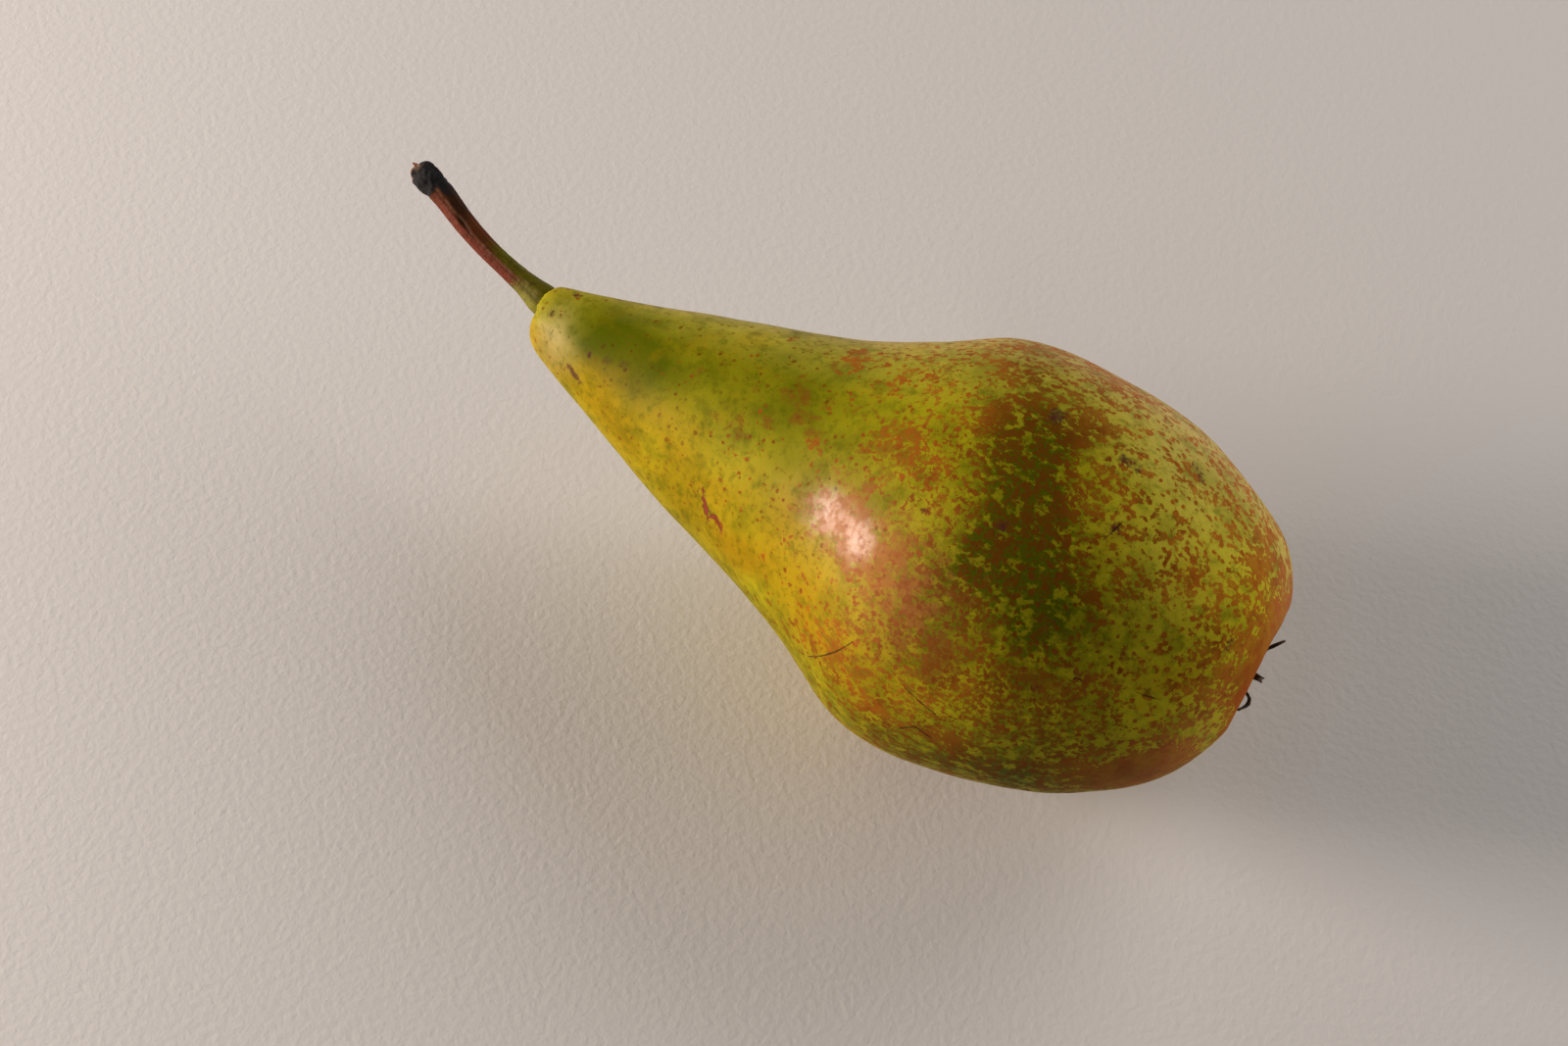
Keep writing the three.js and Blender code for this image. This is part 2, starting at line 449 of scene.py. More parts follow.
from_stem = np.hypot(points[:, 1] - STEM_EXIT_LEAN, points[:, 2])
crease = 1 - fade(from_stem, STEM_EXIT_RADIUS - CREASE_INSIDE, STEM_EXIT_RADIUS + CREASE_OUTSIDE)
points[:, 0] += np.where(near_stem, crease * CREASE_DEPTH, 0)
folds = waves(chart_turn, [(7, 1.3, 1), (12, 0.4, 0.7)]) * hump(from_stem, FOLDS_OUT, FOLDS_SPREAD)
points[:, 0] += np.where(near_stem, FOLD_DEPTH * folds, 0)
folds = waves(chart_turn, [(10, 0, 1), (17, 1, 0.8)])
folds *= hump(chart_out, BASIN_FOLDS_OUT, BASIN_FOLDS_SPREAD) * (chart_along < BASIN_END)
points[:, 0] += BASIN_FOLD_DEPTH * folds
write_points(skin, points)
print("lip up to", (lip[near_stem].max() / MM).round(2), "mm, crease", CREASE_DEPTH / MM, "mm")

# %% [markdown]
# Slow lumps all over and small ones between them take away the last evenness. Then the
# skin goes to its place, and its lowest part is pressed flat: that is the spot that the
# pear rests on.

# %% Add lumps and press the resting spot
add_lumps(skin, size=24 * MM, height=0.8 * MM, depth=1)
add_lumps(skin, size=7 * MM, height=0.22 * MM)
put_in_frame(skin)
points = read_points(skin)
points[:, 2] = np.maximum(points[:, 2], 0)
write_points(skin, points)
print("skin", len(skin.data.polygons), "faces, lowest", points[:, 2].min())

# %% [markdown]
# ## What is painted on the skin
#
# The skin of this pear is yellow green with a golden cheek, and a corky brown rust, called
# russet, has grown over it. Where each of these lies is painted on the points of the mesh
# as soft spots, and the material later breaks their edges up. A spot is given by its place
# on the chart, skin length in millimetres and turn in degrees, its two radii in
# millimetres, and its strength.

# %% Brushes
SPOT_SEED = 11

spot_chance = np.random.default_rng(SPOT_SEED)


def soft_spots(spots):
    """The sum of soft spots (skin length, turn, radius along, radius around, strength)."""
    return sum(strength * soft_spot(*spot) for *spot, strength in spots)


def scattered(count, lengths, turns, radii, strength):
    """Soft spots thrown at random within ranges of length, turn and radius."""
    return soft_spots([
        (
            spot_chance.uniform(*lengths), spot_chance.uniform(*turns),
            spot_chance.uniform(*radii), spot_chance.uniform(*radii),
            spot_chance.uniform(0.4, 1.0) * strength,
        )
        for _ in range(count)
    ])


def ramp_along(stations):
    """Values between stations (skin length, value), all round the fruit."""
    return np.interp(chart_skin, *zip(*stations))


def ramp_around(stations):
    """Values between stations (turn, value), all along the fruit."""
    return np.interp(np.degrees(chart_turn) % 360, *zip(*stations))


# %% Paint the russet
russet = ramp_along([
    (-9, 0.5), (-4, 0.65), (-1, 1.0), (0.5, 0.95), (2.2, 0.68), (4.5, 0.45), (10, 0.4),
    (50, 0.4), (66, 0.26), (82, 0.1), (100, -0.08),
])
russet += soft_spots([
    (1.5, 80, 4.5, 8, 0.5), (9, 96, 5, 9, 0.14), (10, 47, 4, 7, 0.08), (2, 50, 3, 6, 0.15),
    (6, 128, 5, 12, -0.3), (15, 143, 6, 4.5, 0.5), (20, 152, 4, 4.5, 0.45), (11, 150, 5, 5, 0.4),
    (46, 46, 1.8, 2, 0.34), (43, 39, 2, 2, 0.15), (57, 45, 3.5, 6, 0.08), (52, 62, 4, 4, 0.12),
    (30, 40, 9, 9, -0.1), (12, 108, 5, 7, 0.1), (20, 66, 7, 9, -0.08), (12, 50, 6, 8, 0.07),
    (18, 111, 7, 7, -0.1), (25, 98, 7, 6, -0.1), (31, 36, 5, 7, -0.1), (38, 100, 7, 9, -0.12),
    (63, 127, 2.4, 3, 0.16), (68, 137, 2, 2.4, 0.2), (55, 141, 3, 1.6, 0.2),
    (46, 142, 3, 1.6, 0.27), (42, 140, 2.5, 1.4, 0.27), (54, 108, 4, 6, -0.08),
    (44, 112, 5, 6, 0.06), (67, 69, 6, 5, 0.16), (80, 78, 1.4, 1.4, 0.45), (72.5, 45, 1.6, 2, 0.55),
    (67, 44, 1.8, 3, 0.2), (75, 30, 9, 5, 0.14), (83, 28, 1.5, 2.2, 0.35), (93, 26, 1.5, 2.2, 0.45),
    (82, 37, 3, 2.4, 0.25), (95, 51, 2.5, 2.2, 0.25), (104, 72, 2.6, 2, 0.25), (91, 88, 5, 6, 0.2),
    (69, 97, 8, 7, -0.15), (89.6, 130, 1.5, 0.8, 0.6), (128, 30, 1.5, 1.2, 0.5),
])
russet += scattered(60, (5, 118), (175, 355), (1.5, 5), 0.3)
russet += scattered(30, (5, 60), (5, 160), (1.5, 3.5), 0.14)
paint(skin, "russet", russet)

# %% Paint the ring of russet at the calyx
ring = ramp_along([(-4, 0.25), (-1, 1), (3.5, 1), (8.5, 0)])
ring *= ramp_around([
    (0, 0.4), (30, 0.45), (60, 0.75), (110, 1), (160, 0.7), (190, 0.3), (340, 0.3), (360, 0.45),
])
paint(skin, "ring", ring)

# %% [markdown]
# Not all russet is alike. On the belly it is fine and its edges are soft; elsewhere it is
# coarse and crisp. Two more layers keep that. A third keeps the scarf skin, a veil of
# brown wisps far thinner than russet.

# %% Paint how fine and how soft the russet is
fineness = 0.3 + soft_spots([(54, 96, 13, 22, 0.5), (40, 122, 18, 12, 0.5), (67, 65, 10, 12, 0.5)])
softness = 0.08 + soft_spots([
    (45, 16, 14, 7, 0.2), (58, 100, 8, 12, 0.35), (62, 129, 9, 8, 0.3), (70, 66, 9, 8, 0.35),
    (40, 145, 20, 8, 0.25),
])
paint(skin, "fineness", fineness)
paint(skin, "softness", softness)

# %% Paint the scarf skin
# The first spot lies under the highlight, where with the blush it paints the highlight's pink. The rest
# is real scarf skin.
scarf = soft_spots([
    (69, 96.5, 8, 5.5, 1.0), (67, 68, 6, 6, 0.75), (82, 38, 4, 3, 0.45), (93, 83, 4, 4, 0.45),
    (88, 67, 7, 5, 0.3), (84, 60, 4, 3, 0.4), (79, 72, 4, 2.5, 0.45), (76, 55, 3, 3, 0.3),
    (96, 58, 4, 2, 0.35), (56, 100, 8, 12, 0.5), (48, 118, 8, 9, 0.4), (62, 131, 7, 6, 0.6),
    (48, 14, 14, 8, 0.6), (30, 110, 12, 10, 0.4), (96, 132, 8, 4, 0.4), (70, 30, 12, 8, 0.3),
    (40, 250, 25, 25, 0.4),
])
paint(skin, "scarf", scarf)

# %% [markdown]
# Under the russet the skin itself changes colour: deep green on the top of the neck, gold
# toward the ground, dark olive on the belly, and a pink blush. The olive is partly painted
# shade and the blush partly a painted highlight and sheen. Each is one layer, laid down
# with ramps first and corrected with spots.

# %% Paint the green
green = ramp_along([
    (52, 0), (60, 0.34), (70, 0.5), (82, 0.62), (100, 0.68), (119, 0.72), (125, 0.64),
    (129, 0.56), (132, 0.42),
])
green *= ramp_around([
    (0, 0), (12, 0.1), (26, 0.5), (40, 0.9), (55, 1.05), (75, 1.05), (88, 1.0), (98, 0.8),
    (106, 0.55), (114, 0.25), (150, 0.2), (190, 0.4), (240, 0.7), (300, 0.9), (345, 0.5),
    (360, 0.05),
])
green += soft_spots([
    (114, 76, 8, 3.6, 0.3), (111, 66, 4, 3.5, 0.15), (115, 94, 5, 2.6, 0.4), (110, 104, 5, 2, 0.2),
    (120.5, 74, 2, 6, 0.12), (122, 100, 4, 2.5, 0.2), (111, 98, 5, 3, 0.2),
    (112.5, 84, 3.5, 3.5, 0.3), (100, 65, 2, 2, 0.22), (110, 34, 9, 4, -0.1),
    (102, 72, 5, 4, -0.06), (87, 66, 8, 6, 0.09), (94, 44, 8, 4, 0.06), (88, 90, 4, 5, -0.1),
    (99, 88, 4, 3, -0.15), (102, 103, 8, 2.5, -0.15), (95, 320, 20, 12, 0.3),
    (40, 210, 18, 20, 0.35),
])
green += scattered(60, (60, 122), (0, 360), (2, 5), 0.14)
green -= scattered(60, (60, 122), (0, 360), (2, 5), 0.14)
paint(skin, "green", green)

# %% Paint the gold
gold = ramp_along([(42, 0), (54, 0.6), (70, 0.75), (125, 0.85), (131, 1)])
# The gold near turn zero, on the back edge, is a painted warm reflection.
gold *= ramp_around([
    (0, 0.6), (18, 0.25), (30, 0), (88, 0), (100, 0.35), (112, 0.8), (135, 0.95), (150, 0.6),
    (175, 0.4), (200, 0.25), (250, 0.6), (300, 0.2), (360, 0.6),
])
gold += soft_spots([(30, 290, 30, 30, 0.3), (66, 128, 6, 6, 0.3)])
gold += scattered(40, (60, 130), (95, 150), (2, 5), 0.25)
gold -= scattered(40, (60, 130), (95, 150), (2, 5), 0.25)
paint(skin, "gold", gold)

# %% Paint the dark olive and the painted shade
# Partly painted shade: the spots on the belly from turn 38 to 115 darken a band where the light from
# both sides is weakest, and the large spots near turns 130 to 160 paint a shadow along the lower front
# edge. The scattered spots are real mottle.
olive_and_shade = soft_spots([
    (45, 73, 7, 8, 0.85), (51, 60, 7, 8, 0.7), (40, 91, 9, 9, 1.05), (28, 88, 6, 7, 0.25),
    (50, 87, 4, 6, 0.45), (46, 47, 5, 6, 0.55), (54, 38, 5, 7, 0.5), (36, 109, 7, 7, 0.35),
    (53, 99, 5, 8, 0.35), (52, 115, 5, 6, 0.3), (97, 113, 4, 1.4, 0.13), (88, 118, 2, 3, 0.18),
    (104, 122, 4, 1.6, 0.2), (112, 112, 4, 2, 0.28), (82, 112, 3, 2, 0.22), (110, 131, 4, 2, 0.25),
    (97, 132, 3, 2, 0.2), (108, 120, 5, 3, 0.18), (115, 128, 4, 2.4, 0.2), (52, 56, 5, 6, 0.4),
    (20, 72, 5, 6, -0.15), (19, 112, 5, 5, -0.12), (34, 131, 12, 9, 0.5), (36, 153, 16, 9, 0.7),
    (62, 150, 16, 6, 0.3), (75, 158, 40, 6, 0.4),
])
olive_and_shade += scattered(50, (15, 130), (0, 360), (1.5, 4), 0.22)
paint(skin, "olive_and_shade", olive_and_shade)

# %% Paint the blush, with painted highlight and sheen
# Partly painted highlight and sheen: the spots near turn 100 paint the pink of the highlight, and those
# near turns 12 to 18 paint the pink sheen along the back edge. The two near turn 140 are real.
blush_and_sheen = soft_spots([
    (4, 18, 5, 9, 0.62), (40, 12, 28, 8, 0.9), (57, 104, 8, 9, 0.8), (70, 96.5, 9, 6.5, 0.95),
    (17, 143, 7, 7, 0.3), (10, 138, 6, 10, 0.4), (78, 12, 16, 5, 0.5),
])
paint(skin, "blush_and_sheen", blush_and_sheen)

# %% [markdown]
# A pear makes its own wax, and where a hand has rubbed it off the skin shines. The top edge
# is paler, partly a dull bloom of wax and partly a painted sheen of the light grazing it.
# The bloom is a colour and the shine is gloss, so they are two layers.

# %% Paint the bloom with its painted sheen, and the shine
bloom_and_sheen = ramp_around([
    (0, 0.36), (12, 0.4), (24, 0.22), (34, 0.1), (55, 0), (305, 0), (340, 0.22), (360, 0.28),
])
bloom_and_sheen *= ramp_along([
    (0, 0.4), (8, 0.9), (42, 1.35), (62, 0.9), (80, 0.75), (110, 0.8), (122, 0.4), (128, 0.1),
])
# The two spots on the belly paint a broad sheen.
bloom_and_sheen += soft_spots([
    (33, 36, 7, 7, 0.12), (25, 55, 10, 12, 0.1), (128, 105, 3, 5, 0.35), (125, 112, 3, 3, 0.2),
])
shine = 0.003 + soft_spots([
    (65.5, 97.5, 3.2, 3.4, 0.25), (73, 95.5, 2.8, 3.0, 0.25), (68, 99, 8, 9, 0.08),
    (129, 103, 2, 3, 0.05),
])
paint(skin, "bloom_and_sheen", bloom_and_sheen)
paint(skin, "shine", shine)

# %% [markdown]
# The pear also carries marks of its life on the tree: dull purple bruises, a few nearly
# black nicks, fine cracks in the russet and a healed scratch. A bruise is one more soft
# spot, and in the basin and on the hidden rim small ones are scattered.

# %% Paint bruises and nicks
bruise = soft_spots([
    (49, 44.6, 1.3, 1.6, 1.0), (38, 46.8, 1.0, 1.1, 0.8), (36, 47.2, 1.0, 1.2, 0.8),
    (39.6, 50.4, 0.9, 1.1, 0.5), (29, 31.3, 1.3, 1.2, 0.6), (27.2, 33.5, 1.1, 1.3, 0.6),
    (35.4, 21.6, 1.2, 1.6, 0.4), (11.4, 81.4, 0.9, 2.0, 0.55), (34.6, 67, 0.9, 1.6, 0.9),
    (48.4, 78.5, 1.1, 1.3, 0.7), (30, 108, 1.4, 1.0, 0.6), (34.8, 114.8, 1.2, 1.0, 0.6),
    (117.7, 89, 0.5, 0.9, 0.95), (114.3, 87, 0.7, 1.2, 1.0), (120.6, 94, 0.5, 0.6, 0.9),
    (128, 31, 0.8, 0.9, 0.7), (129.6, 76, 0.6, 0.8, 0.6), (123.3, 119, 0.9, 0.7, 0.6),
    (122, 121.6, 0.9, 0.7, 0.8), (120.6, 124.2, 1.0, 0.7, 0.6), (58.5, 82.5, 0.8, 0.8, 0.6),
    (29, 200, 1.5, 2.0, 0.7), (62, 260, 1.4, 1.8, 0.6), (18, 310, 1.6, 1.4, 0.7),
])
bruise += scattered(24, (-8, -2), (0, 360), (0.4, 1.1), 0.8)
bruise += scattered(16, (-2, 6), (170, 390), (0.4, 1.2), 0.7)
paint(skin, "bruise", bruise)

# %% [markdown]
# A crack is far thinner than the faces of the mesh, so it can't be painted as a spot.
# Instead each point near it keeps its distance to the line, positive on one side and
# negative on the other. Between the points that distance passes exactly through zero, and
# there the material draws a thin line.

# %% Lines on the skin


def line_gaps(places, corners):
    """How far each place is from a line through the corners, without and with a sign."""
    nearest_gap = np.full(len(places), np.inf)
    signed_gap = np.zeros(len(places))
    for start, end in zip(corners, corners[1:]):
        length = np.linalg.norm(end - start)
        way = (end - start) / length
        gap = places - start
        gap = gap - np.clip(gap @ way, 0, length)[:, None] * way
        distance = np.linalg.norm(gap, axis=1)
        closer = distance < nearest_gap
        nearest_gap[closer] = distance[closer]
        signed_gap[closer] = (gap @ np.array((-way[1], way[0])))[closer]
    return nearest_gap, signed_gap


# %% Paint the cracks
# Each line: the half width in millimetres, whether it has healed, and its points on the
# chart, skin length and turn.
CRACKS = [
    (0.12, 0, [(68, 147), (67.2, 145.1), (63.8, 134.6), (62, 128.9), (60.8, 124.6)]),
    (0.14, 0, [(50.5, 128.4), (48, 130.7), (46, 132.4)]),
    (0.16, 0, [(49.6, 143.3), (48.2, 140.2), (45.4, 142.6)]),
    (0.22, 0, [(34.2, 65.4), (34.8, 69.0)]),
    (0.15, 0, [(20.0, 107.6), (17.0, 108.6)]),
    (0.12, 0, [(31.8, 108.4), (30.4, 109.4)]),
    (0.9, 1, [(93.4, 122.5), (92.9, 125.5), (92.2, 129), (91.4, 132.5)]),
    (0.4, 1, [(89.6, 129), (88.7, 131.5)]),
    (0.14, 0, [(40, 230), (37, 236), (35, 240)]),
    (0.14, 0, [(72, 300), (69, 306)]),
]
CRACK_REACH = 1.5  # how far from a crack its distance is kept, mm
CRACK_FADE = 0.6
NO_CRACK = 9.0
LONGEST_CRACK = 14
WIDEST_TURN = 40

crack_gap = np.full(len(chart_skin), NO_CRACK)
crack_core = np.zeros(len(chart_skin))
healed = np.zeros(len(chart_skin))
for half_width, is_healed, line in CRACKS:
    first_length, middle_turn = line[0][0], np.mean([turn for _, turn in line])
    out = np.interp(first_length, outline_skin / MM, outline[:, 1] / MM)
    turns = (np.degrees(chart_turn) - middle_turn + 180) % 360 - 180
    close_by = (np.abs(chart_skin - first_length) < LONGEST_CRACK) & (np.abs(turns) < WIDEST_TURN)
    close_by = np.flatnonzero(close_by)
    places = np.stack([chart_skin[close_by], np.radians(turns[close_by]) * out], axis=1)
    corners = [(length, math.radians(turn - middle_turn) * out) for length, turn in line]
    gaps, signed_gaps = line_gaps(places, np.array(corners))
    near = gaps < CRACK_REACH
    crack_gap[close_by[near]] = signed_gaps[near]
    crack_core[close_by[near]] = half_width * (1 - fade(gaps[near], CRACK_FADE, CRACK_REACH))
    healed[close_by[near]] = is_healed
print("points near a crack", np.count_nonzero(crack_core))
paint(skin, "crack_gap", crack_gap)
paint(skin, "crack_core", crack_core)
paint(skin, "healed", healed)

# %% [markdown]
# ## The stem
#
# The stem leans and swells toward the torn knob where it came off the branch. A curve with
# a round bevel would bend as well, but its points couldn't be pushed or painted. So it is
# extruded like the fruit, and each ring is also turned to stay square to the path.

# %% Extrude the stem along its path
# Along, lean and radius in millimetres, from inside the flesh to the knob.
STEM_STATIONS = [
    (115.4, 2.4, 1.9),
    (118.4, 3.1, 2.35),
    (120.0, 3.5, 2.5),
    (122.0, 4.05, 2.1),
    (124.0, 4.6, 1.8),
    (127.0, 5.4, 1.62),
    (131.0, 6.6, 1.6),
    (136.6, 8.8, 1.7),
    (141.2, 11.1, 1.85),
    (143.6, 12.0, 2.15),
    (145.4, 12.55, 2.2),
    (146.5, 12.85, 1.75),
    (146.9, 12.95, 1.0),
]
STEM_SIDES = 24

stem_rings = [ring * MM for ring in smooth_path(STEM_STATIONS, RINGS_PER_STATION)]


def stem_centre(ring):
    return Vector((-ring.x, ring.y, 0))


def stem_slope(number):
    """How far the path leans away from the middle line at a ring."""
    before = stem_rings[max(number - 1, 0)]
    after = stem_rings[min(number + 1, len(stem_rings) - 1)]
    return math.atan2(after.y - before.y, after.x - before.x)


centres = [stem_centre(ring) for ring in stem_rings]
slopes = [0.0] + [stem_slope(number) for number in range(1, len(stem_rings))]
tip = centres[-1] + Vector((0.1, -0.1, 0)) * MM
stem = extrude_rings("stem_bark", centres, [ring.z for ring in stem_rings], STEM_SIDES, tip, slopes)
subdivide(stem, 2)
print("stem", len(stem.data.polygons), "faces")

# %% [markdown]
# Bark has long furrows that follow the stem round its bend, so each point first learns how
# far along the stem it lies, how far round it, and which way is outward. Furrows, the scar
# of a bud and the rough knob are then pushed out or in along that direction.

# %% Measure where each point of the stem lies
PATH_STEPS = 16

points = read_points(stem)
path = np.array(smooth_path(STEM_STATIONS, PATH_STEPS)) * MM
gaps = (-points[:, 0, None] - path[:, 0]) ** 2 + (points[:, 1, None] - path[:, 1]) ** 2
nearest = gaps.argmin(axis=1)
slopes = np.arctan2(np.gradient(path[:, 1]), np.gradient(path[:, 0]))[nearest]
outward = points - np.stack([-path[nearest, 0], path[nearest, 1], 0 * slopes], axis=1)
across = outward[:, 0] * np.sin(slopes) + outward[:, 1] * np.cos(slopes)
stem_turn = np.arctan2(outward[:, 2], across)
stem_along = path[nearest, 0] / MM
outward /= np.maximum(np.linalg.norm(outward, axis=1), 1e-9)[:, None]
print("stem from", stem_along.min().round(1), "to", stem_along.max().round(1), "mm along")

# %% Furrow the bark and roughen the knob
KNOB_START, KNOB_FULL = 141, 143
KNOB_LUMP = 0.3 * MM
LUMP_SIZE = MM / 0.7
TORN_START, TORN_FULL = 145.6, 146.6
TORN_HEIGHT = 0.35 * MM
FURROW_DEPTH = 0.045 * MM
FURROW_DRIFT = 0.35  # how far a furrow wanders round the stem, in radians
# A mark by its place along and its length in mm, its turn and its width in radians.
SCAR = (136.2, 1.5, 1.45, 0.2)
SCAR_DEPTH = 0.5 * MM
SCAR_EDGE = (136.2, 2.2, 1.55, 0.42)
SCAR_EDGE_HEIGHT = 0.28 * MM


def bark_mark(along, length, turn, width):
    """One at a place on the bark, and less and less round it."""
    return hump(stem_along, along, length) * hump(stem_turn, turn, width)


drift = FURROW_DRIFT * np.sin(stem_along / 5)
furrows = waves(stem_turn, [(5, drift, 1), (9, 1 - 2 * drift, 0.8), (16, 2 + 3 * drift, 0.5)])
scar, scar_edge = bark_mark(*SCAR), bark_mark(*SCAR_EDGE)
knob = fade(stem_along, KNOB_START, KNOB_FULL)
lumps = np.array([noise.fractal(Vector(point) / LUMP_SIZE, 0.9, 2.0, 2) for point in points])
push = FURROW_DEPTH * furrows * (1 - knob) + KNOB_LUMP * lumps * knob
push += SCAR_EDGE_HEIGHT * scar_edge - SCAR_DEPTH * scar
torn = fade(stem_along, TORN_START, TORN_FULL)
points += outward * push[:, None]
points[:, 0] -= torn * TORN_HEIGHT * np.cos(3 * stem_turn + 1)
write_points(stem, points)
add_lumps(stem, size=0.9 * MM, height=0.1 * MM)
print("stem reaches", -points[:, 0].min() / MM, "mm along")

# %% [markdown]
# The stem is painted by how far round it a point lies, in degrees, and how far along, in
# millimetres: red on the side of the sun, with dust and a painted highlight on its lit edge,
# green on the other, fresh green at its foot, and black from the shaded side up to the knob.

# %% Paint the stem
TORN_TURN = math.radians(150)

around = np.degrees(stem_turn) % 360
green_side = (1 - fade(around, 62, 96)) + fade(around, 262, 300)
dark_side = green_side * fade(stem_along, 134, 138)
above_base = fade(stem_along, 121.5, 127.5)
red = band(around, 76, 122, 225, 270) * above_base * (1 - 0.6 * fade(stem_along, 137, 143))
# Dust, and a painted highlight along the edge that faces the window light.
dust_and_lit_edge = band(around, 140, 172, 205, 245) * fade(stem_along, 126, 134) * (1 - knob)
for name, values in {
    "bark_red": red,
    "bark_dust_and_lit_edge": dust_and_lit_edge,
    "bark_green": np.maximum(1 - above_base, green_side * (1 - fade(stem_along, 127.5, 134))),
    "fresh_side": (1 - fade(stem_along, 121, 127)) * band(around, 95, 135, 220, 260),
    "bark_shade": dark_side,
    "bark_black": np.maximum(knob, 0.75 * dark_side * fade(stem_along, 137, 142)),
    "bark_scar": scar,
    "torn_wood": torn * fade(np.cos(stem_turn - TORN_TURN), -0.4, 0.8),
}.items():
    paint(stem, name, values)

# %% [markdown]
# A splinter of wood stands up from the torn end. It is a thin ring drawn out to a point,
# and is joined to the stem, since it is one piece with it.

# %% The splinter
# Along, lean and radius in millimetres.
SPLINTER = [(145.6, 13.2, 0.7), (146.6, 13.3, 0.6), (147.3, 13.35, 0.35), (147.9, 13.5, 0.1)]
SPLINTER_SIDES = 10

rings = [Vector(ring) * MM for ring in SPLINTER]
centres = [stem_centre(ring) for ring in rings]
splinter = extrude_rings("splinter", centres, [ring.z for ring in rings], SPLINTER_SIDES, centres[-1])
subdivide(splinter, 1)
add_lumps(splinter, size=0.6 * MM, height=0.25 * MM)
for name in ("torn_wood", "bark_red"):
    paint(splinter, name, np.ones(len(splinter.data.vertices)))


def join(piece, extras):
    """Joins extra meshes to a piece, which keeps its name."""
    select_only(piece)
    for extra in extras:
        extra.select_set(True)
    bpy.ops.object.join()


join(stem, [splinter])
put_in_frame(stem)
print("stem", len(stem.data.polygons), "faces with its splinter")

# %% [markdown]
# ## The calyx
#
# At the other end the flower has dried to a small dark cup. Being round it could be spun
# from its profile, but the helper for rings does the same with no new tool. It goes from
# the floor of the cup over the lip to the foot in the basin.

# %% The cup
# Out and along in millimetres, from the middle of the cup over its lip to its foot.
CUP_STATIONS = [
    (0.5, 2.75), (1.6, 2.5), (2.4, 1.6), (2.9, 1.3), (3.3, 1.7), (3.4, 2.6), (3.3, 3.8), (2.6, 4.2),
]
CUP_LEAN = 0.4 * MM
CUP_SIDES = 40

rings = [ring * MM for ring in smooth_path([(*station, 0) for station in CUP_STATIONS], 2)]
centres = [Vector((-ring.y, CUP_LEAN, 0)) for ring in rings]
calyx = extrude_rings("calyx_dry", centres, [ring.x for ring in rings], CUP_SIDES, centres[-1])
subdivide(calyx, 1)
add_lumps(calyx, size=1.5 * MM, height=0.35 * MM)
print("cup", len(calyx.data.polygons), "faces")

# %% [markdown]
# Five sepals grow from the cup, leathery, curled and each bent its own way. A sepal starts
# as a grid whose middle line is bent along a curve. Its edges curl up, it twists toward
# its tip, and a solidify modifier gives it its thickness.

# %% Bend a sepal
SEPAL_ROOT = (2.7, 2.5)  # out and along, in millimetres
SEPAL_BULGE = -1.4  # where a sepal bends most, for each unit of its rise
SEPAL_TIP_WIDTH = 0.3
SEPAL_CURL = 0.14
SEPAL_WAVE, SEPAL_WAVES = 0.12, 9  # of its width
SEPAL_RIPPLE, SEPAL_RIPPLES = 0.1, 14  # of its surface


def bezier(points, t):
    a, b, c, d = points
    return a * (1 - t) ** 3 + 3 * b * (1 - t) ** 2 * t + 3 * c * (1 - t) * t**2 + d * t**3


def bend_sepal(flat, rise, reach, droop, twist, width, turn):
    """The points of a flat grid of size one, bent to a sepal that leaves the cup at a turn."""
    t, side = flat[:, 0] + 0.5, 2 * flat[:, 1]
    root_out, root_along = SEPAL_ROOT
    bulge = SEPAL_BULGE * rise
    out = bezier((root_out, root_out, (root_out + reach) / 2, reach), t)
    along = bezier((root_along, bulge, bulge, droop - rise), t)
    curl = SEPAL_CURL * width
    width = width + (SEPAL_TIP_WIDTH - width) * t**1.5
    width *= 1 + SEPAL_WAVE * np.sin(SEPAL_WAVES * t + turn)
    angle = math.radians(twist) * t**2
    half = side * width / 2
    lift = curl * (side**2 - 0.4) * (0.4 + t)
    lift += SEPAL_RIPPLE * np.sin(SEPAL_RIPPLES * t + 3 * side + turn)
    across = half * np.cos(angle) - lift * np.sin(angle)
    lift = half * np.sin(angle) + lift * np.cos(angle)
    bent = np.stack([
        lift - along,
        out * math.cos(turn) - across * math.sin(turn),
        out * math.sin(turn) + across * math.cos(turn),
    ], axis=1)
    return bent * MM + np.array((0, CUP_LEAN, 0))


# %% Grow the five sepals
# How far each rises out of the basin, how far out it reaches and how far its tip droops
# back, in millimetres, how far it twists, in degrees, and how wide its root is.
SEPALS = [
    (-0.6, 6.7, -1.8, 5, 1.3),
    (0.7, 4.3, 0.5, -15, 1.2),
    (0.7, 5.9, 1.3, 20, 1.5),
    (-0.5, 5.4, 0.8, -20, 2.2),
    (-0.5, 5.6, 0.7, 25, 2.0),
]
SEPAL_FIRST_TURN = math.radians(18)
SEPAL_THICKNESS = 0.3 * MM
DRY_TIP = 1.4  # how far in from its tip a sepal has gone grey, in millimetres


def grow_sepal(shape, turn):
    """One curled sepal that leaves the cup at the given turn."""
    bpy.ops.object.select_all(action="DESELECT")
    bpy.ops.mesh.primitive_grid_add(x_subdivisions=18, y_subdivisions=8, size=1)
    sepal = bpy.context.active_object
    sepal.name = "sepal"
    write_points(sepal, bend_sepal(read_points(sepal), *shape, turn))
    apply_modifier(sepal, "SOLIDIFY", thickness=SEPAL_THICKNESS, offset=0)
    face_outwards(sepal)
    subdivide(sepal, 1)
    add_lumps(sepal, size=0.8 * MM, height=0.14 * MM)
    points = read_points(sepal)
    far_out = np.hypot(points[:, 1] - CUP_LEAN, points[:, 2]) / MM
    reach = shape[1]
    paint(sepal, "dry_tip", fade(far_out, reach - DRY_TIP, reach))
    return sepal


